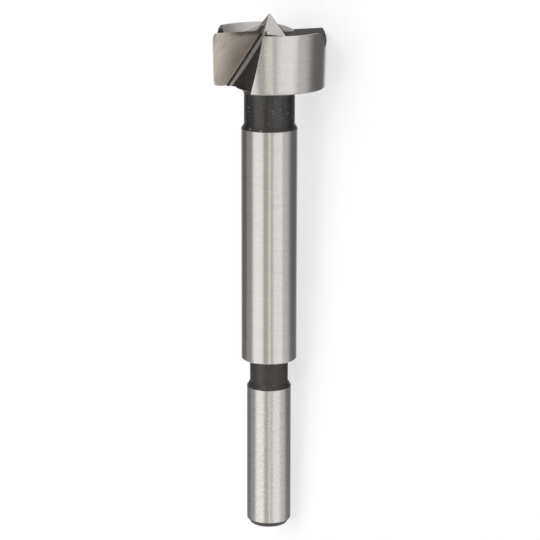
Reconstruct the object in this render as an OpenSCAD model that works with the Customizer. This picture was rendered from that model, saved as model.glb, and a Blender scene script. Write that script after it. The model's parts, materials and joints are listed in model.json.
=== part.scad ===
// Forstner bit with a round shank, made from one piece of tool steel.
// Lengths are in millimetres. It is drawn standing on its shank's end, its axis along Z and its
// lips along X, and is then laid down as it comes to rest on a table.

/* [Shank] */
// Diameter of the clamped shank
shank_d = 8; // [6:0.1:10]
// Length of the shank, from its end to the shoulder below the relief neck
shank_l = 26.3; // [20:0.1:40]
// Height of the chamfer on the shank's end
end_chamfer_h = 0.95; // [0.3:0.05:1.5]
// Width of the chamfer on the shank's end
end_chamfer_w = 0.7; // [0.2:0.05:1.5]

/* [Relief neck] */
// Diameter of the relief neck between the shank and the body
relief_d = 6.9; // [5:0.1:7.5]
// Length of the relief neck, with its shoulder
relief_l = 5.2; // [3:0.1:10]
// Height of the tapered shoulder from the shank to the relief neck
shoulder_h = 1; // [0.4:0.1:2]

/* [Body] */
// Diameter of the ground body
body_d = 10; // [9.5:0.1:12]
// Length of the ground body
body_l = 42.2; // [25:0.1:60]
// Chamfer on the body's lower edge
body_edge = 0.2; // [0.1:0.05:0.6]

/* [Neck] */
// Diameter of the neck below the head
neck_d = 9; // [8:0.1:9.4]
// Length of the neck, from the body to the head's underside
neck_l = 7.3; // [5:0.1:15]
// Height of the taper from the body to the neck
neck_taper_h = 0.85; // [0.3:0.05:2]
// Radius of the fillet between the neck and the head's underside
neck_fillet = 1.4; // [0.5:0.1:1.6]

/* [Head] */
// Cutting diameter of the head
head_d = 20; // [19:0.1:22]
// Height of the head, from its underside to its lips
head_h = 9.9; // [8:0.1:12]
// How much smaller the head's radius is at its underside
back_taper = 0.25; // [0.1:0.05:0.5]
// Chamfer on the head's lower edge
head_edge = 0.2; // [0.1:0.05:0.5]

/* [Rim] */
// How far the rim stands above the lips
rim_rise = 0.25; // [0.1:0.05:0.8]
// Width of the rim's flat top
rim_land = 0.3; // [0.1:0.05:1]
// Angle of the rim's inner face from the axis
rim_bevel = 25; // [10:1:40]

/* [Lips and clearance] */
// Rake angle of the face in front of each lip
rake = 20.9; // [15:0.1:25]
// Angle of the clearance face behind each lip
clearance = 23.5; // [18:0.5:28]
// Depth of the recess behind each lip
recess_depth = 2.6; // [1.5:0.1:3.5]
// Angle of the notch face that rises to the rim
notch_angle = 60; // [45:1:80]
// Radius on the top corner of the notch
notch_round = 0.8; // [0.2:0.1:1.2]
// Size of the broken corner at the foot of each rake face
heel_break = 1; // [0.3:0.1:2]
// Turn of that broken corner about its own run
heel_turn = 40; // [30:1:55]

/* [Gullets] */
// Distance from the axis to the gullet's corner, at the level of the lips
corner_r = 1.48; // [1.2:0.02:2]
// Slope of the gullet's corner in the rake face, from the horizontal
corner_slope = 63.7; // [60:0.1:67]
// Height of the ground step that stands along the gullet's corner
step_h = 0.9; // [0.5:0.05:1.2]
// How far the grinding wheel reaches out of the rake face
wheel_reach = 2.2; // [2:0.05:2.4]
// Radius of the cutter that mills the gullet's far face
mill_r = 10; // [9.5:0.1:11]
// How far the cutter's axis lies out along the lip, at the level of the lips
mill_out = 11.57; // [11:0.01:12]
// How far the cutter's axis lies in front of the lip, at the level of the lips
mill_ahead = 1.33; // [1:0.01:1.7]
// Lean of the cutter's axis away from the bit's axis
mill_lean = 22.1; // [20:0.1:24]
// Direction of that lean, turned from the lip
mill_turn = 13.7; // [10:0.1:18]

/* [Centre point] */
// Height of the point above the lips
point_h = 3; // [2:0.1:4]
// Included angle of the point's cone
point_angle = 76; // [60:1:90]
// Radius of the point's blunt tip
tip_r = 0.05; // [0.03:0.01:0.15]
// Angle of the point's ground flat from the axis
flat_angle = 21.8; // [15:0.1:30]
// Direction of the ground flat, turned back from the lip
flat_turn = 104; // [85:1:120]
// How far above the lips, along the gullet's corner, the point's facets start
facet_foot = 0.8; // [0.4:0.05:1.2]
// Length of the web that rises from each lip to the point
web_l = 4.3; // [3:0.1:6]
// Height of the web at the axis
web_h = 1.15; // [0.4:0.05:1.5]
// Thickness of the web
web_t = 0.35; // [0.2:0.05:0.8]
// How far the web stands behind the lip
web_back = 0.3; // [0.1:0.05:0.4]

/* [Hidden] */
$fn = 96;
bright_steel = [0.78, 0.78, 0.77];
black_oxide = [0.2, 0.19, 0.19];

// Heights along the axis, from the shank's end
body_z = shank_l + relief_l;
neck_z = body_z + body_l;
under_z = neck_z + neck_l;
lip_z = under_z + head_h;
rim_z = lip_z + rim_rise;
tip_z = lip_z + point_h;
// Recess floor behind each lip, and how far behind the lip the clearance face meets it
floor_z = lip_z - recess_depth;
recess_run = recess_depth / tan(clearance);

// Radii
shank_r = shank_d / 2;
shank_end_r = shank_r - end_chamfer_w;
relief_r = relief_d / 2;
body_r = body_d / 2;
neck_r = neck_d / 2;
head_r = head_d / 2;
under_r = head_r - back_taper;
rim_in_r = head_r - rim_land;

// A length well past the head, for the cutting shapes
reach = head_d + point_h;
// How far the rim's material is cleared in front of a lip
lip_lead = head_r * sin(rake) / 2;
// Outer foot of the rake face: out along the lip, and down in the face
heel_x = sqrt(pow(under_r, 2) - pow(head_h * tan(rake), 2));
heel_z = -head_h / cos(rake);

// Axis of the cutter that mills the gullet's far face
mill_base = [mill_out, mill_ahead, lip_z];
mill_axis = [-sin(mill_lean) * cos(mill_turn), -sin(mill_lean) * sin(mill_turn), cos(mill_lean)];

// The bit lies on three points: the outer corner of a lip, the lower corner of the wall across
// that lip's gullet, and the edge of the shank's end
lower_edge_z = under_z + head_edge;
lip_corner = [head_r - back_taper * rim_rise / (rim_z - lower_edge_z), 0, lip_z];
function wall_point(turn) = [under_r * cos(turn), under_r * sin(turn), lower_edge_z];
function in_mill(turn) = norm(cross(wall_point(turn) - mill_base, mill_axis)) < mill_r;
// Turn of the wall's lower corner from the lip, halved until it is exact
function wall_turn(low, high, steps) =
    let (middle = (low + high) / 2)
    steps == 0 ? middle
    : in_mill(middle) ? wall_turn(middle, high, steps - 1)
    : wall_turn(low, middle, steps - 1);
wall_corner = wall_point(wall_turn(0, 90, 40));
// Turn of the lowest side from the lip, and the rise of the axis towards the head
lip_run = lip_corner.z - end_chamfer_h;
wall_run = wall_corner.z - end_chamfer_h;
slope_x = lip_corner.x / lip_run - wall_corner.x / wall_run;
slope_y = lip_corner.y / lip_run - wall_corner.y / wall_run;
slope_shank = shank_r / lip_run - shank_r / wall_run;
down_turn = atan2(slope_y, slope_x) + acos(slope_shank / norm([slope_x, slope_y]));
axis_rise = atan((lip_corner.x * cos(down_turn) + lip_corner.y * sin(down_turn) - shank_r) / lip_run);
// Height of the axis above the table at the shank's end, and the middle of the length
end_height = shank_r * cos(axis_rise) - end_chamfer_h * sin(axis_rise);
middle_x = (tip_z * cos(axis_rise) - shank_end_r * sin(axis_rise)) / 2;

// Round shank with a chamfered end
module shank() {
    color(bright_steel)
        rotate_extrude()
            polygon([
                [0, 0],
                [shank_end_r, 0],
                [shank_r, end_chamfer_h],
                [shank_r, shank_l],
                [0, shank_l],
            ]);
}

// Relief neck with the tapered shoulder above the shank
module relief_neck() {
    color(black_oxide)
        rotate_extrude()
            polygon([
                [0, shank_l],
                [shank_r, shank_l],
                [relief_r, shank_l + shoulder_h],
                [relief_r, body_z],
                [0, body_z],
            ]);
}

// Ground cylindrical body with a broken lower edge
module body() {
    color(bright_steel)
        rotate_extrude()
            polygon([
                [0, body_z],
                [body_r - body_edge, body_z],
                [body_r, body_z + body_edge],
                [body_r, neck_z],
                [0, neck_z],
            ]);
}

// Neck that tapers in from the body and flares with a fillet into the head's underside
module neck() {
    color(black_oxide)
        rotate_extrude()
            difference() {
                polygon([
                    [0, neck_z],
                    [body_r, neck_z],
                    [neck_r, neck_z + neck_taper_h],
                    [neck_r, under_z - neck_fillet],
                    [neck_r + neck_fillet, under_z - neck_fillet],
                    [neck_r + neck_fillet, under_z],
                    [0, under_z],
                ]);
                translate([neck_r + neck_fillet, under_z - neck_fillet])
                    circle(neck_fillet);
            }
}

// Head before its cuts: a disc that tapers back from its rim
module head_disc() {
    rotate_extrude()
        polygon([
            [0, under_z],
            [under_r - head_edge, under_z],
            [under_r, lower_edge_z],
            [head_r, rim_z],
            [0, rim_z],
        ]);
}

// Sweeps an outline of distance behind the lip and height along the lip, from x_from to x_to
module along_lip(x_from, x_to) {
    rotate([90, 0, -90])
        translate([0, 0, -x_to])
            linear_extrude(x_to - x_from)
                children();
}

// Room behind one lip, from its clearance face down to the recess floor
module clearance_room() {
    along_lip(-reach, reach)
        polygon([
            [0, lip_z],
            [recess_run, floor_z],
            [reach, floor_z],
            [reach, tip_z],
            [0, tip_z],
        ]);
}

// Inside of the rim, a cup that narrows towards the recess floor
module rim_cup() {
    rotate_extrude()
        polygon([
            [0, floor_z],
            [rim_in_r - (rim_z - floor_z) * tan(rim_bevel), floor_z],
            [rim_in_r, rim_z],
            [rim_in_r, tip_z],
            [0, tip_z],
        ]);
}

// Notch through the rim behind one lip, with its far top corner rounded
module rim_notch() {
    top_run = recess_run + (rim_z - floor_z) / tan(notch_angle);
    tangent = notch_round * tan(notch_angle / 2);
    round_center = [top_run + tangent, rim_z - notch_round];
    along_lip(0, reach)
        difference() {
            polygon([
                [-lip_lead, lip_z],
                [0, lip_z],
                [recess_run, floor_z],
                [top_run - tangent * cos(notch_angle), rim_z - tangent * sin(notch_angle)],
                round_center,
                [top_run + tangent, tip_z],
                [-lip_lead, tip_z],
            ]);
            translate(round_center)
                circle(notch_round);
        }
}

// Places a shape in the rake face of one lip: x out along the lip, y out of the face, z up in it
module in_rake_face() {
    translate([0, 0, lip_z])
        rotate([-rake, 0, 0])
            children();
}

// Turns a shape in the rake face so that its z runs up along the gullet's corner
module along_corner() {
    in_rake_face()
        translate([corner_r, 0, 0])
            rotate([0, corner_slope - 90, 0])
                children();
}

// Ground cut of one gullet: the rake face, the step along its corner and a facet of the point
module ground_cut() {
    along_corner()
        translate([0, 0, -reach])
            cube([reach, wheel_reach, 2 * reach]);
}

// Milled cut of one gullet: its hollow far face, down to a narrow land beside the step
module milled_cut() {
    intersection() {
        along_corner()
            translate([-reach, step_h, -reach])
                cube([2 * reach, reach, 2 * reach]);
        translate(mill_base)
            rotate([0, -mill_lean, mill_turn])
                cylinder(r = mill_r, h = 4 * reach, center = true);
    }
}

// Broken corner at the foot of one rake face, dying out along the head's lower edge
module heel_cut() {
    in_rake_face()
        translate([heel_x - heel_break, 0, heel_z])
            rotate([0, -45, 0])
                rotate([heel_turn, 0, 0])
                    translate([-heel_break, -reach, -2 * heel_break])
                        cube([reach, reach + heel_break, 2 * heel_break]);
}

// Facet of the point in line with the step of one gullet
module point_facet() {
    along_corner()
        translate([0, -reach, facet_foot])
            cube([reach, 2 * reach, reach]);
}

// Centre point: a blunt cone with a ground flat behind each lip and a facet above each gullet
module centre_point() {
    difference() {
        translate([0, 0, floor_z])
            cylinder(h = tip_z - floor_z, r1 = tip_r + (tip_z - floor_z) * tan(point_angle / 2), r2 = tip_r);
        for (side = [0, 180])
            rotate([0, 0, side - flat_turn])
                translate([0, 0, tip_z])
                    rotate([0, -flat_angle, 0])
                        translate([0, -reach, -reach])
                            cube([reach, 2 * reach, 2 * reach]);
        for (side = [0, 180])
            rotate([0, 0, side])
                point_facet();
    }
}

// Thin web that rises from one lip to the point, with a round top
module lip_web() {
    web_r = (web_l * web_l + web_h * web_h) / (2 * web_h);
    intersection() {
        translate([0, -web_back - web_t, lip_z - web_h])
            cube([web_l, web_t, 2 * web_h]);
        translate([0, 0, lip_z + web_h - web_r])
            rotate([90, 0, 0])
                cylinder(r = web_r, h = reach, center = true);
    }
}

// Head with its recesses, centre point and gullets, the same on both sides of the axis
module cutter_head() {
    color(bright_steel)
        difference() {
            union() {
                difference() {
                    head_disc();
                    for (side = [0, 180])
                        rotate([0, 0, side]) {
                            intersection() {
                                clearance_room();
                                rim_cup();
                            }
                            rim_notch();
                        }
                }
                centre_point();
                for (side = [0, 180])
                    rotate([0, 0, side])
                        lip_web();
            }
            for (side = [0, 180])
                rotate([0, 0, side]) {
                    ground_cut();
                    milled_cut();
                    heel_cut();
                }
        }
}

// The whole bit, lying with its tip towards +X
module forstner_bit() {
    translate([-middle_x, 0, end_height])
        rotate([0, 90 - axis_rise, 0])
            rotate([0, 0, -down_turn]) {
                shank();
                relief_neck();
                body();
                neck();
                cutter_head();
            }
}

forstner_bit();
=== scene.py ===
"""Forstner bit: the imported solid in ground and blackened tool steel, on a pale studio floor."""

import json
import math

import bmesh
import bpy
from bpy.props import FloatProperty, FloatVectorProperty, PointerProperty
from mathutils import Matrix, Vector


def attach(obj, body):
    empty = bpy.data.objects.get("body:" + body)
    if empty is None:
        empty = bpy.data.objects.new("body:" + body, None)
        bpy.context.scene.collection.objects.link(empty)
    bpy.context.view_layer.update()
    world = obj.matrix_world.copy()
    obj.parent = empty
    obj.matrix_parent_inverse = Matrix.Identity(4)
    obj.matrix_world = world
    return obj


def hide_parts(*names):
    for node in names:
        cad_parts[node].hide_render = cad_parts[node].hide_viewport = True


bl_info = {
    "name": "Forstner bit",
    "version": (1, 0, 0),
    "blender": (4, 5, 0),
    "location": "View3D > Sidebar > Forstner bit",
    "description": "Dresses a forstner bit in ground and blackened steel and sets up its studio",
    "category": "Object",
}

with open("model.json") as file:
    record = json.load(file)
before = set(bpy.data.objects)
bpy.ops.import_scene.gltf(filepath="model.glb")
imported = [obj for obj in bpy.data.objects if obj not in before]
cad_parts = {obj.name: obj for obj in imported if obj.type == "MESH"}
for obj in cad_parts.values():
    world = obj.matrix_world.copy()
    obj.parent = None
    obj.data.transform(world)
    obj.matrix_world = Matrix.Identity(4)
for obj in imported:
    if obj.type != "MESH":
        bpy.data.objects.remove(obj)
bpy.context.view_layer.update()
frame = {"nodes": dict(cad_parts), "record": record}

MM = 0.001
NODE = "forstner_bit"
BODY = "root"
IMAGE_PIXELS = 540
SENSOR_MM = 36.0
WHITE = (1.0, 1.0, 1.0)

SHANK = next(mount for mount in frame["record"]["mounts"] if mount["name"] == "shank")
TIP_WAY = -Vector(SHANK["axis"]).normalized()

# Telling the solid's faces apart: distances, a cosine, shares of the head's radius, lips' turns.
NEAR = 0.02 * MM
HEAD_SLACK = 0.05 * MM
FOOT_SLACK = 0.01 * MM
ALIGNED = 0.99
WALL_SHARE = 0.9
RIM_SHARE = 0.8
LIP_SIDES = (0.0, math.pi)

# Cleaning and rounding the mesh.
WELD = 0.0001 * MM
SLIVER = 0.02 * MM
FLAT_ANGLE = math.radians(0.3)
BREAK_ANGLE = math.radians(12)
SMOOTH_ANGLE = math.radians(40)
ROUND_SEGMENTS = 6
BREAK_SEGMENTS = 2

# Stretch of each finish's noise, across and along the axis.
GROUND_RINGS = (0.5, 0.5, 14.0)
GROUND_BANDS = (0.15, 0.15, 0.9)
GROUND_GRAIN = (1.0, 1.0, 1.5)
OXIDE_GRAIN = (1.5, 1.5, 2.6)

# Height of each finish's bump.
RING_DEPTH = 0.0008 * MM
MARK_DEPTH = 0.01 * MM
FINE_DEPTH = 0.001 * MM
OXIDE_DEPTH = 0.006 * MM

# Floor that sweeps up into a round wall, and the lamp, in metres.
FLOOR_RADIUS = 2.5
FLOOR_SIDES = 96
SWEEP_RADIUS = 0.8
SWEEP_STEPS = 12
WALL_TOP = 3.0
LAMP_SIZE = (0.9, 0.7)
LAMP_PLACE = (0.05, 0.2, 0.8)

# Panels of the light tent: centre, half width and soft border, in degrees round the axis from
# the camera's side, and brightness.
TENT_PANELS = (
    (-47.0, 24.5, 16.0, 0.96),
    (33.5, 21.0, 20.0, 0.85),
    (70.5, 18.0, 30.0, 0.47),
    (-90.0, 15.0, 6.0, 0.18),
    (1.5, 4.0, 6.0, 0.65),
)
TENT_BASE = 0.16
TENT_GAP = (-5.5, 12.0, 4.0)
GAP_LEVEL = 0.32
GAP_TINT = (1.0, 0.997, 0.91)
TENT_REAR = (138.0, 165.0)
REAR_LEVEL = 0.6

# Ends of the tent, which close between two cosines with the axis.
TENT_END = (0.45, 0.85)
TIP_LEVEL = 0.75
SHANK_LEVEL = 0.6

# Towards the shank the panels turn, widen and glow a little.
WIDE_START = (0.24, 0.4)
WIDE_TURN = 3.0
WIDE_SHARE = 0.12
WIDE_GLOW = 0.1


def steel_colour(name, description, default):
    """A colour that a user can change, with values from 0 to 1."""
    return FloatVectorProperty(
        name=name,
        description=description,
        default=default,
        subtype="COLOR",
        size=3,
        min=0.0,
        max=1.0,
    )


def share(name, description, default):
    """A value from 0 to 1 that a user can change."""
    return FloatProperty(
        name=name, description=description, default=default, subtype="FACTOR", min=0.0, max=1.0
    )


def length(name, description, millimetres):
    """A length that a user can change, kept in metres."""
    return FloatProperty(
        name=name,
        description=description,
        default=millimetres * MM,
        unit="LENGTH",
        precision=5,
        min=0.0,
    )


def angle(name, description, degrees):
    """An angle that a user can change, kept in radians."""
    return FloatProperty(
        name=name,
        description=description,
        default=math.radians(degrees),
        subtype="ANGLE",
        unit="ROTATION",
    )


class BitSizes(bpy.types.PropertyGroup):
    """Places along the bit's axis and angles of its ground faces, as the solid has them."""

    end_chamfer_h: length("End chamfer", "Height of the chamfer on the shank's end", 0.95)
    shank_top: length("Shank top", "Height of the shank's shoulder, from the shank's end", 26.3)
    body_foot: length("Body foot", "Height of the body's lower edge", 31.5)
    body_top: length("Body top", "Height of the body's upper edge", 73.7)
    underside: length("Underside", "Height of the head's underside", 81.0)
    lips: length("Lips", "Height of the cutting lips", 90.9)
    rim: length("Rim", "Height of the rim's flat top", 91.15)
    head_radius: length("Head radius", "Cutting radius of the head", 10.0)
    corner_radius: length("Gullet corner", "Reach of the gullet's corner at the lips", 1.48)
    step_height: length("Step height", "Height of the step along the gullet's corner", 0.9)
    point_radius: length("Point radius", "Reach of the centre point and its webs", 4.5)
    facet_reach: length("Facet reach", "Reach of the dark faces round the point's foot", 2.5)
    corner_round: length("Corner round", "Round on the corner of each rim at its gullet", 0.4)
    edge_break: length("Edge break", "Width of the tiny bevel on every sharp edge", 0.03)
    rake: angle("Rake", "Rake angle of the face in front of each lip", 20.9)
    corner_slope: angle("Corner slope", "Slope of the gullet's corner in the rake face", 63.7)
    flat_angle: angle("Flat angle", "Angle of the point's flats from the axis", 21.8)
    flat_turn: angle("Flat turn", "Turn of the point's flats back from the lips", 104.0)
    roll: angle("Roll", "Turn of the lowest side of the lying bit from the lip", 22.2676)


class BitFinish(bpy.types.PropertyGroup):
    """Colours and roughness of the bit's finishes."""

    ground: steel_colour("Ground steel", "Body, shank and head wall", (0.66, 0.634, 0.62))
    rake: steel_colour("Rake face", "Coarse face in front of each lip", (0.58, 0.52, 0.455))
    edge: steel_colour("Edges", "Rims, lands, webs and point flats", (0.66, 0.63, 0.615))
    facet: steel_colour("Facets", "Facets of the point, ends of the walls", (0.22, 0.21, 0.196))
    oxide: steel_colour("Black oxide", "Neck, recesses and gullets", (0.009, 0.007, 0.0055))
    relief: steel_colour("Black relief", "Groove and shank's end", (0.026, 0.021, 0.017))
    speck: steel_colour("Specks", "Bright grains in the black oxide", (0.24, 0.225, 0.21))
    ground_rough: share("Ground roughness", "Roughness of the ground body", 0.2)
    oxide_rough: share("Oxide roughness", "Roughness of the black oxide", 0.25)


class BitStudio(bpy.types.PropertyGroup):
    """Camera, floor and light."""

    focal_pixels: FloatProperty(
        name="Focal length",
        description="Focal length in pixels of the square picture",
        default=2041.3,
        min=1.0,
    )
    distance: length("Distance", "Camera's distance from the bit's axis", 365.9)
    aim_along: length("Aim", "Camera's aim on the axis, from the shank's end", 47.82)
    aim_right: length("Aim offset", "How far right of the axis the camera aims", 0.154)
    raise_angle: angle("Raise", "Camera's lift towards the tip", 14.45)
    turn_angle: angle("Turn", "Camera's direction round the axis from the lip", 248.5)
    picture_roll: angle("Picture roll", "Lean of the bit in the picture", 0.109)
    floor_colour: steel_colour("Floor", "Pale studio floor", (0.93, 0.93, 0.93))
    backlight: share("Backlight", "Share of the floor's look that is lit from behind", 0.68)
    key_power: FloatProperty(
        name="Key power",
        description="Power of the large overhead lamp",
        default=3.6,
        min=0.0,
        unit="POWER",
    )


class Wire:
    """A node's output that takes part in Python expressions."""

    def __init__(self, graph, socket):
        self.graph = graph
        self.socket = socket

    def __add__(self, other):
        return self.graph.math("ADD", self, other)

    def __radd__(self, other):
        return self.graph.math("ADD", other, self)

    def __sub__(self, other):
        return self.graph.math("SUBTRACT", self, other)

    def __rsub__(self, other):
        return self.graph.math("SUBTRACT", other, self)

    def __mul__(self, other):
        return self.graph.math("MULTIPLY", self, other)

    def __rmul__(self, other):
        return self.graph.math("MULTIPLY", other, self)

    def __truediv__(self, other):
        return self.graph.math("DIVIDE", self, other)

    def __rtruediv__(self, other):
        return self.graph.math("DIVIDE", other, self)

    def __neg__(self):
        return self.graph.math("MULTIPLY", self, -1.0)

    def __abs__(self):
        return self.graph.math("ABSOLUTE", self, 0.0)


class Graph:
    """A node tree that is filled by Python calls."""

    def __init__(self, tree):
        self.tree = tree
        tree.nodes.clear()

    def node(self, kind, settings=None, inputs=None, output=0):
        """Adds one node: its settings first, then the values or links of its sockets."""
        node = self.tree.nodes.new(kind)
        for key, value in (settings or {}).items():
            setattr(node, key, value)
        for key, value in (inputs or {}).items():
            if isinstance(value, Wire):
                self.tree.links.new(value.socket, node.inputs[key])
            else:
                node.inputs[key].default_value = value
        return Wire(self, node.outputs[output]) if node.outputs else node

    def math(self, operation, left, right):
        return self.node("ShaderNodeMath", {"operation": operation}, {0: left, 1: right})

    def vector_math(self, operation, inputs, output=0):
        return self.node("ShaderNodeVectorMath", {"operation": operation}, inputs, output)

    def step(self, value, low, high):
        """Rises smoothly from 0 at low to 1 at high."""
        return self.node(
            "ShaderNodeMapRange",
            {"interpolation_type": "SMOOTHSTEP"},
            {"Value": value, "From Min": low, "From Max": high},
        )

    def noise(self, vector, scale=1.0, detail=2.0, rough=0.5):
        """Noise around 0.5 with the given number of grains per unit."""
        return self.node(
            "ShaderNodeTexNoise",
            None,
            {"Vector": vector, "Scale": scale, "Detail": detail, "Roughness": rough},
        )

    def vector(self, x, y, z):
        return self.node("ShaderNodeCombineXYZ", None, {"X": x, "Y": y, "Z": z})

    def split(self, vector):
        """The three parts of a vector."""
        parts = self.node("ShaderNodeSeparateXYZ", None, {"Vector": vector})
        return [Wire(self, socket) for socket in parts.socket.node.outputs]

    def stretch(self, vector, factors):
        """A vector with each part multiplied by its own factor."""
        return self.vector_math("MULTIPLY", {0: vector, 1: factors})

    def blend(self, factor, first, second):
        """Mixes two colours."""
        return self.node(
            "ShaderNodeMix", {"data_type": "RGBA"}, {0: factor, 6: first, 7: second}, 2
        )

    def shade(self, colour, factor):
        """A colour made lighter or darker by a factor."""
        return self.vector_math("SCALE", {0: tuple(colour), "Scale": factor})


def opaque(colour):
    return (*colour, 1.0)


def sizes():
    return bpy.context.scene.bit_sizes


def finish():
    return bpy.context.scene.bit_finish


def studio():
    return bpy.context.scene.bit_studio


def bit_pose():
    """Turns the upright bit, axis along Z from its shank's end, into the lying one."""
    middle = (sizes().end_chamfer_h + sizes().shank_top) / 2
    end = Vector(SHANK["pos_m"]) - TIP_WAY * middle
    tilt = Matrix.Rotation(math.atan2(TIP_WAY.x, TIP_WAY.z), 4, "Y")
    return Matrix.Translation(end) @ tilt @ Matrix.Rotation(-sizes().roll, 4, "Z")


class Face:
    """One face of the head, seen from a lip: its normal, and its place on the gullet's corner."""

    def __init__(self, point, normal, side):
        turn = Matrix.Rotation(side, 3, "Z")
        self.normal = turn @ normal
        rake = Matrix.Rotation(sizes().rake, 3, "X")
        slope = Matrix.Rotation(math.pi / 2 - sizes().corner_slope, 3, "Y")
        offset = rake @ (turn @ point - Vector((0, 0, sizes().lips)))
        self.corner = slope @ (offset - Vector((sizes().corner_radius, 0, 0)))
        self.corner_normal = slope @ (rake @ self.normal)


def head_finish(point, normal):
    """Names the finish of a face of the head."""
    radius = math.hypot(point.x, point.y)
    outward = normal.dot(Vector((point.x, point.y, 0)).normalized())
    if radius > WALL_SHARE * sizes().head_radius and outward > 0.5:
        return "wall"
    if normal.z < -0.9:
        return "oxide"

    outer = radius > RIM_SHARE * sizes().head_radius
    heel = outer and normal.z < -0.5
    rim_top = normal.z > ALIGNED and point.z > sizes().rim - NEAR
    rim_slope = outer and outward < -0.7 and normal.z > 0.2
    wall_end = outer and abs(normal.x) < 0.1 and abs(normal.y) > 0.5 and normal.z > 0.4
    if heel:
        return "rake"
    if rim_top or rim_slope:
        return "edge"
    if wall_end:
        return "facet"

    flat_way = Matrix.Rotation(-sizes().flat_turn, 3, "Z") @ Vector(
        (math.cos(sizes().flat_angle), 0, math.sin(sizes().flat_angle))
    )
    faces = [Face(point, normal, side) for side in LIP_SIDES]
    for face in faces:
        raked = face.corner_normal.y > ALIGNED
        if raked and abs(face.corner.y) < NEAR:
            return "rake"
        if raked and abs(face.corner.y - sizes().step_height) < NEAR:
            return "land"
        if face.corner_normal.x > ALIGNED and abs(face.corner.x) < NEAR:
            return "facet"
        if face.normal.dot(flat_way) > ALIGNED:
            return "edge"

    if radius < sizes().point_radius and point.z > sizes().lips:
        dark = radius < sizes().facet_reach and abs(normal.x) > 0.4
        return "facet" if dark else "land"
    if any(face.corner_normal.x > 0.7 for face in faces):
        return "gullet"
    return "recess" if normal.z > 0.3 else "oxide"


def face_finish(point, normal):
    """Names the finish of a face of the upright bit."""
    if point.z > sizes().underside - HEAD_SLACK:
        return head_finish(point, normal)
    if point.z > sizes().body_top:
        return "oxide"
    groove = sizes().shank_top < point.z < sizes().body_foot + FOOT_SLACK
    end_face = normal.z < -0.1 and point.z < sizes().end_chamfer_h
    return "relief" if groove or end_face else "ground"


def rim_corner(edge, upright):
    """True for the short edges where a rim's flat top ends at its gullet."""
    places = [upright @ corner.co for corner in edge.verts]
    if not edge.is_manifold or any(abs(place.z - sizes().rim) > NEAR for place in places):
        return False
    radial = Vector((places[0].x, places[0].y, 0)).normalized()
    normals = [upright.to_3x3() @ face.normal for face in edge.link_faces]
    steep = [normal for normal in normals if normal.z < 0.3]
    return len(steep) == 1 and abs(steep[0].dot(radial)) < 0.6


def round_edges(mesh, edges, width, segments, clamp, material):
    """Rounds edges in the finish of the given index, or in that of their faces for -1."""
    bmesh.ops.bevel(
        mesh,
        geom=edges,
        offset=width,
        offset_type="OFFSET",
        segments=segments,
        profile=0.5,
        affect="EDGES",
        clamp_overlap=clamp,
        material=material,
    )


def bit_mesh(pose, order):
    """Copies the solid's faces, gives each its finish and breaks the sharp edges."""
    mesh = bmesh.new()
    mesh.from_mesh(frame["nodes"][NODE].data)
    # The solid's faces come unjoined: their borders stay sharp when they are joined here.
    for edge in mesh.edges:
        edge.smooth = not edge.is_boundary
    bmesh.ops.remove_doubles(mesh, verts=mesh.verts, dist=WELD)
    bmesh.ops.dissolve_degenerate(mesh, edges=mesh.edges, dist=SLIVER)
    bmesh.ops.dissolve_limit(
        mesh, angle_limit=FLAT_ANGLE, verts=mesh.verts, edges=mesh.edges, delimit={"SHARP"}
    )
    upright = pose.inverted()
    turn = upright.to_3x3()
    for face in mesh.faces:
        name = face_finish(upright @ face.calc_center_median(), turn @ face.normal)
        face.material_index = order.index(name)
    corners = [edge for edge in mesh.edges if rim_corner(edge, upright)]
    round_edges(
        mesh, corners, sizes().corner_round, ROUND_SEGMENTS, True, order.index("edge")
    )
    for edge in mesh.edges:
        if edge.calc_face_angle(0.0) > SMOOTH_ANGLE:
            edge.smooth = False
    sharp = [
        edge
        for edge in mesh.edges
        if not edge.smooth and edge.calc_face_angle(0.0) > BREAK_ANGLE
    ]
    round_edges(mesh, sharp, sizes().edge_break, BREAK_SEGMENTS, False, -1)
    for edge in mesh.edges:
        edge.smooth = edge.calc_face_angle(math.pi) < SMOOTH_ANGLE
    for face in mesh.faces:
        face.smooth = True
    return mesh


def new_material(name):
    """An empty node material and its graph."""
    material = bpy.data.materials.new(name)
    material.use_nodes = True
    return material, Graph(material.node_tree)


def upright_place(graph, pose):
    """Place on the bit in millimetres, with the axis along Z from the shank's end."""
    place = graph.node("ShaderNodeTexCoord", None, None, "Object")
    return graph.node(
        "ShaderNodeMapping",
        {"vector_type": "TEXTURE"},
        {
            "Vector": place,
            "Location": pose.translation,
            "Rotation": pose.to_euler(),
            "Scale": (MM, MM, MM),
        },
    )


def close_material(graph, colour, roughness, metallic, height, depth, specular=0.5):
    """Joins colour, roughness and a bump of the given depth to the surface."""
    bump = graph.node(
        "ShaderNodeBump", None, {"Strength": 1.0, "Distance": depth, "Height": height}
    )
    surface = graph.node(
        "ShaderNodeBsdfPrincipled",
        None,
        {
            "Base Color": colour,
            "Roughness": roughness,
            "Metallic": metallic,
            "Specular IOR Level": specular,
            "Normal": bump,
        },
    )
    graph.node("ShaderNodeOutputMaterial", None, {"Surface": surface})


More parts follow.
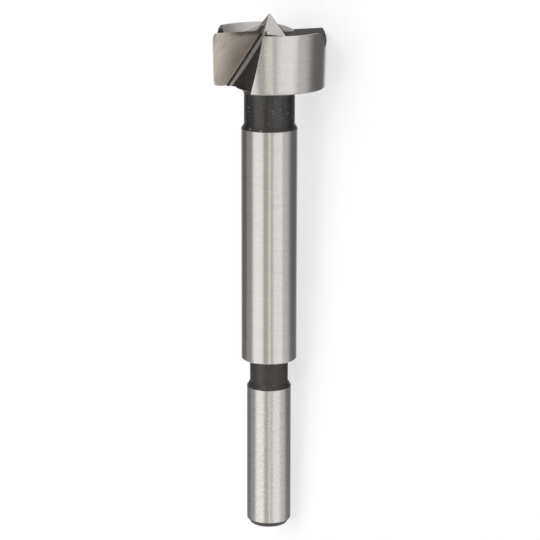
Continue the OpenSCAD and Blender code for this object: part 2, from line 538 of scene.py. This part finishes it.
def ground_material(name, pose, tone, rough):
    """Cylindrically ground steel: rings, faint bands and a grain that is coarser on the shank."""
    material, graph = new_material(name)
    place = upright_place(graph, pose)
    height = graph.split(place)[2]
    rings = graph.noise(graph.stretch(place, GROUND_RINGS), detail=3.0, rough=0.6)
    bands = graph.noise(graph.stretch(place, GROUND_BANDS))
    grain = graph.noise(graph.stretch(place, GROUND_GRAIN), scale=4.5, detail=3.0, rough=0.6)
    coarse = 1.0 - graph.step(height, sizes().shank_top / MM, sizes().body_foot / MM)
    light = 0.81 + rings * 0.3 + bands * 0.08 + (grain - 0.5) * (0.4 + coarse * 0.6)
    roughness = rough - 0.06 + rings * 0.08 + bands * 0.04 + coarse * 0.04
    colour = graph.shade(tone, light)
    close_material(graph, colour, roughness, metallic=1.0, height=rings, depth=RING_DEPTH)
    return material


def rake_material(name, pose):
    """Rake face: coarse straight marks, darker towards its top near the centre, a painted
    highlight at the corner.
    """
    material, graph = new_material(name)
    place = upright_place(graph, pose)
    x, _, z = graph.split(place)
    reach = abs(x)
    lean = math.pi / 2 - sizes().corner_slope
    down = (z - sizes().lips / MM) / math.cos(sizes().rake)
    across = reach * math.cos(lean) + down * math.sin(lean)
    along = down * math.cos(lean) - reach * math.sin(lean)
    marks = graph.noise(graph.vector(across * 5.0, along * 0.22, 0.0), detail=4.0, rough=0.65)
    fine = graph.noise(graph.vector(across * 16.0, along * 0.5, 4.0))
    patch = graph.noise(place, scale=0.35)
    # Darker towards the top of the rake face, near the centre.
    upper_darkening = graph.step(down + marks * 3.0, 0.3, 1.3) * (1.0 - graph.step(reach, 5.5, 8.5))
    # Painted highlight: a thin band along the gullet's corner is made lighter.
    corner = sizes().corner_radius / MM * math.cos(lean)
    painted_corner_highlight = (1.0 - graph.step(across - corner, 0.14, 0.4)) * graph.step(-down, 1.0, 4.0)
    bright = graph.step(reach + down * 0.6, 1.0, 7.0)
    light = (marks * 1.2 + fine * 0.5 + patch * 0.3) * (1.0 - upper_darkening * 0.75)
    colour = graph.shade(finish().rake, light * (1.0 + painted_corner_highlight * 0.45 + bright * 0.45))
    close_material(
        graph,
        colour,
        0.4 + marks * 0.14,
        metallic=0.55,
        height=marks + fine * 0.5,
        depth=MARK_DEPTH,
    )
    return material


def fine_material(name, pose, tone, rough, metallic):
    """Finely ground narrow faces, with an even grain."""
    material, graph = new_material(name)
    place = upright_place(graph, pose)
    grain = graph.noise(place, scale=5.5, detail=3.0, rough=0.6)
    cloud = graph.noise(place, scale=0.8)
    colour = graph.shade(tone, 0.68 + grain * 0.5 + cloud * 0.14)
    roughness = rough - 0.05 + grain * 0.1
    close_material(graph, colour, roughness, metallic, height=grain, depth=FINE_DEPTH)
    return material


def facet_material(name, pose):
    """Ground facets, which turn black below the lips, where they run down as the gullet's step."""
    material, graph = new_material(name)
    place = upright_place(graph, pose)
    height = graph.split(place)[2]
    grain = graph.noise(place, scale=9.0, detail=3.0)
    lips = sizes().lips / MM
    bare = graph.step(height + grain * 0.4, lips - 0.5, lips + 0.3)
    steel = graph.shade(finish().facet, 0.8 + grain * 0.4)
    colour = graph.blend(bare, opaque(finish().oxide), steel)
    roughness = 0.32 + grain * 0.08
    close_material(graph, colour, roughness, bare * 0.4, height=grain, depth=FINE_DEPTH)
    return material


def oxide_material(name, pose, tone, rough, specular):
    """Black oxide over turned and milled steel: dull black, grey clouds, small bright grains."""
    material, graph = new_material(name)
    place = upright_place(graph, pose)
    x, y, z = graph.split(place)
    radius = graph.vector_math("LENGTH", {0: graph.vector(x, y, 0.0)}, "Value")
    rings = graph.noise(graph.vector(x * 0.3 + radius * 5.0, y * 0.3, z * 7.0), detail=3.0)
    cloud = graph.noise(place, scale=0.7, detail=3.0)
    grain = graph.noise(graph.stretch(place, OXIDE_GRAIN), detail=3.0, rough=0.55)
    speck = graph.step(grain, 0.61, 0.7) * graph.step(cloud, 0.43, 0.57)
    black = graph.shade(tone, 0.3 + cloud * 0.7 + rings * 0.7)
    colour = graph.blend(speck * 0.6, black, opaque(finish().speck))
    roughness = rough - 0.08 + cloud * 0.12 + rings * 0.06
    close_material(
        graph,
        colour,
        roughness,
        metallic=0.0,
        height=grain + rings,
        depth=OXIDE_DEPTH,
        specular=specular,
    )
    return material


def bit_materials(pose):
    """The finishes by name, in the order of the mesh's slots."""
    colours = finish()
    shine = colours.ground_rough
    materials = {
        "ground": ground_material("ground_steel", pose, colours.ground, shine),
        "wall": ground_material("ground_wall", pose, colours.ground, shine + 0.02),
        "rake": rake_material("rake_face", pose),
        "land": fine_material("ground_land", pose, colours.edge, rough=0.4, metallic=0.4),
        "edge": fine_material("ground_edge", pose, colours.edge, rough=0.36, metallic=0.8),
        "facet": facet_material("point_facet", pose),
    }
    blacks = {
        "oxide": {"tone": colours.oxide, "duller": 0.0, "specular": 0.8},
        "recess": {"tone": colours.oxide, "duller": 0.08, "specular": 0.6},
        "gullet": {"tone": colours.oxide, "duller": 0.12, "specular": 0.4},
        "relief": {"tone": colours.relief, "duller": 0.12, "specular": 0.65},
    }
    for name, black in blacks.items():
        rough = colours.oxide_rough + black["duller"]
        materials[name] = oxide_material(
            f"black_{name}", pose, black["tone"], rough, black["specular"]
        )
    return materials


class BIT_OT_steel(bpy.types.Operator):
    """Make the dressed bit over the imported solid, one finish for each kind of face"""

    bl_idname = "forstner.steel"
    bl_label = "Ground and blackened steel"

    def execute(self, context):
        pose = bit_pose()
        materials = bit_materials(pose)
        mesh = bit_mesh(pose, list(materials))
        if not mesh.faces:
            raise RuntimeError("the packed solid has no faces to dress")
        data = bpy.data.meshes.new("bit_steel")
        mesh.to_mesh(data)
        mesh.free()
        for material in materials.values():
            data.materials.append(material)
        piece = bpy.data.objects.new("bit_steel", data)
        context.scene.collection.objects.link(piece)
        # Large faces keep their own shading beside the broken edges.
        weighted = piece.modifiers.new("face_normals", "WEIGHTED_NORMAL")
        weighted.keep_sharp = True
        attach(piece, BODY)
        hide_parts(NODE)
        return {"FINISHED"}


def camera_frame(pose):
    """Axis of the bit, the way from it to the camera square to it, and the picture's right."""
    turn = pose.to_3x3()
    axis = turn @ Vector((0, 0, 1))
    outward = turn @ Vector((math.cos(studio().turn_angle), math.sin(studio().turn_angle), 0))
    return axis, outward, axis.cross(outward)


def make_camera(context, pose):
    """Camera at the photograph's viewing angle."""
    axis, outward, right = camera_frame(pose)
    lift = studio().raise_angle
    back = outward * math.cos(lift) + axis * math.sin(lift)
    up = axis * math.cos(lift) - outward * math.sin(lift)
    aim = pose.translation + axis * studio().aim_along + right * studio().aim_right
    data = bpy.data.cameras.new("camera")
    data.sensor_width = SENSOR_MM
    data.lens = studio().focal_pixels / IMAGE_PIXELS * SENSOR_MM
    data.clip_start = 0.01
    data.clip_end = 20.0
    camera = bpy.data.objects.new("camera", data)
    roll = Matrix.Rotation(studio().picture_roll, 3, "Z")
    turn = Matrix((right, up, back)).transposed() @ roll
    camera.matrix_world = Matrix.Translation(aim + back * studio().distance) @ turn.to_4x4()
    context.scene.collection.objects.link(camera)
    context.scene.camera = camera


def floor_mesh():
    """Round floor that sweeps up into a wall."""
    rows = []
    for step in range(SWEEP_STEPS + 1):
        lean = math.radians(90 * step / SWEEP_STEPS)
        height = SWEEP_RADIUS - SWEEP_RADIUS * math.cos(lean)
        rows.append((FLOOR_RADIUS + SWEEP_RADIUS * math.sin(lean), height))
    rows.append((FLOOR_RADIUS + SWEEP_RADIUS, WALL_TOP))
    mesh = bmesh.new()
    rings = []
    for radius, height in rows:
        ring = []
        for i in range(FLOOR_SIDES):
            way = math.tau * i / FLOOR_SIDES
            place = (radius * math.cos(way), radius * math.sin(way), height)
            ring.append(mesh.verts.new(place))
        rings.append(ring)
    mesh.faces.new(rings[0])
    for low, high in zip(rings, rings[1:]):
        for i in range(FLOOR_SIDES):
            j = (i + 1) % FLOOR_SIDES
            mesh.faces.new((low[i], low[j], high[j], high[i])).smooth = True
    return mesh


def floor_material():
    """Pale paper that the camera sees partly lit from behind."""
    material, graph = new_material("studio_floor")
    paper = graph.node(
        "ShaderNodeBsdfDiffuse", None, {"Color": opaque(studio().floor_colour), "Roughness": 0.0}
    )
    glow = graph.node("ShaderNodeEmission", None, {"Color": opaque(WHITE), "Strength": 1.0})
    seen = graph.node("ShaderNodeLightPath", None, None, "Is Camera Ray")
    surface = graph.node(
        "ShaderNodeMixShader", None, {0: seen * studio().backlight, 1: paper, 2: glow}
    )
    graph.node("ShaderNodeOutputMaterial", None, {"Surface": surface})
    return material


def make_floor(context):
    """The floor, which casts no shadow and stays out of the bit's reflections."""
    data = bpy.data.meshes.new("floor")
    mesh = floor_mesh()
    mesh.to_mesh(data)
    mesh.free()
    data.materials.append(floor_material())
    floor = bpy.data.objects.new("floor", data)
    floor.visible_glossy = False
    floor.visible_shadow = False
    context.scene.collection.objects.link(floor)


def make_lamp(context):
    """Large soft lamp overhead."""
    data = bpy.data.lights.new("overhead", "AREA")
    data.shape = "RECTANGLE"
    data.size, data.size_y = LAMP_SIZE
    data.energy = studio().key_power
    lamp = bpy.data.objects.new("overhead", data)
    lamp.location = LAMP_PLACE
    lamp.rotation_mode = "QUATERNION"
    lamp.rotation_quaternion = (-Vector(LAMP_PLACE)).to_track_quat("-Z", "Y")
    lamp.visible_glossy = False
    lamp.visible_camera = False
    context.scene.collection.objects.link(lamp)


def make_world(context, pose):
    """Light tent round the bit: bright panels, a dimmer gap between them and dark sides."""
    axis, outward, right = camera_frame(pose)
    world = bpy.data.worlds.new("light_tent")
    world.use_nodes = True
    graph = Graph(world.node_tree)
    way = graph.node("ShaderNodeTexCoord", None, None, "Generated")

    def reach(direction):
        """Cosine between the way that is looked and a direction."""
        return graph.vector_math("DOT_PRODUCT", {0: way, 1: direction}, "Value")

    turn = graph.math("ARCTAN2", reach(right), reach(outward))
    along = reach(axis)
    wide = graph.step(-along, *WIDE_START)
    degrees = (turn * math.degrees(1.0) - wide * WIDE_TURN) / (1.0 + wide * WIDE_SHARE)

    def panel(centre, half, soft):
        """1 inside the panel, falling to 0 over its soft border."""
        return 1.0 - graph.step(abs(degrees - centre), half - soft / 2, half + soft / 2)

    gap = panel(*TENT_GAP)
    rear = graph.step(abs(degrees), *TENT_REAR)
    level = TENT_BASE + wide * WIDE_GLOW + gap * GAP_LEVEL + rear * REAR_LEVEL
    for centre, half, soft, brightness in TENT_PANELS:
        level = level + panel(centre, half, soft) * brightness
    tip_side = graph.step(along, *TENT_END)
    shank_side = graph.step(-along, *TENT_END)
    level = level * (1.0 - tip_side) * (1.0 - shank_side)
    level = level + tip_side * TIP_LEVEL + shank_side * SHANK_LEVEL
    colour = graph.blend(gap * (1.0 - shank_side), opaque(WHITE), opaque(GAP_TINT))
    background = graph.node("ShaderNodeBackground", None, {"Color": colour, "Strength": level})
    graph.node("ShaderNodeOutputWorld", None, {"Surface": background})
    context.scene.world = world


class BIT_OT_studio(bpy.types.Operator):
    """Set up the floor, the lamp, the light tent and the camera"""

    bl_idname = "forstner.studio"
    bl_label = "Studio"

    def execute(self, context):
        pose = bit_pose()
        make_floor(context)
        make_lamp(context)
        make_world(context, pose)
        make_camera(context, pose)
        context.scene.view_settings.view_transform = "Standard"
        return {"FINISHED"}


class BIT_PT_panel(bpy.types.Panel):
    """Sizes, finishes and studio of the bit"""

    bl_idname = "BIT_PT_panel"
    bl_label = "Forstner bit"
    bl_space_type = "VIEW_3D"
    bl_region_type = "UI"
    bl_category = "Forstner bit"

    def draw(self, context):
        groups = (
            (context.scene.bit_sizes, "forstner.steel"),
            (context.scene.bit_finish, None),
            (context.scene.bit_studio, "forstner.studio"),
        )
        for group, operator in groups:
            box = self.layout.box()
            for key in group.bl_rna.properties.keys():
                if key not in ("rna_type", "name"):
                    box.prop(group, key)
            if operator:
                box.operator(operator)


CLASSES = (BitSizes, BitFinish, BitStudio, BIT_OT_steel, BIT_OT_studio, BIT_PT_panel)


def register():
    for cls in CLASSES:
        bpy.utils.register_class(cls)
    bpy.types.Scene.bit_sizes = PointerProperty(type=BitSizes)
    bpy.types.Scene.bit_finish = PointerProperty(type=BitFinish)
    bpy.types.Scene.bit_studio = PointerProperty(type=BitStudio)


def unregister():
    del bpy.types.Scene.bit_studio
    del bpy.types.Scene.bit_finish
    del bpy.types.Scene.bit_sizes
    for cls in reversed(CLASSES):
        bpy.utils.unregister_class(cls)


def main():
    register()
    bpy.ops.forstner.steel()
    bpy.ops.forstner.studio()
    bpy.context.view_layer.update()


if __name__ == "__main__":
    main()
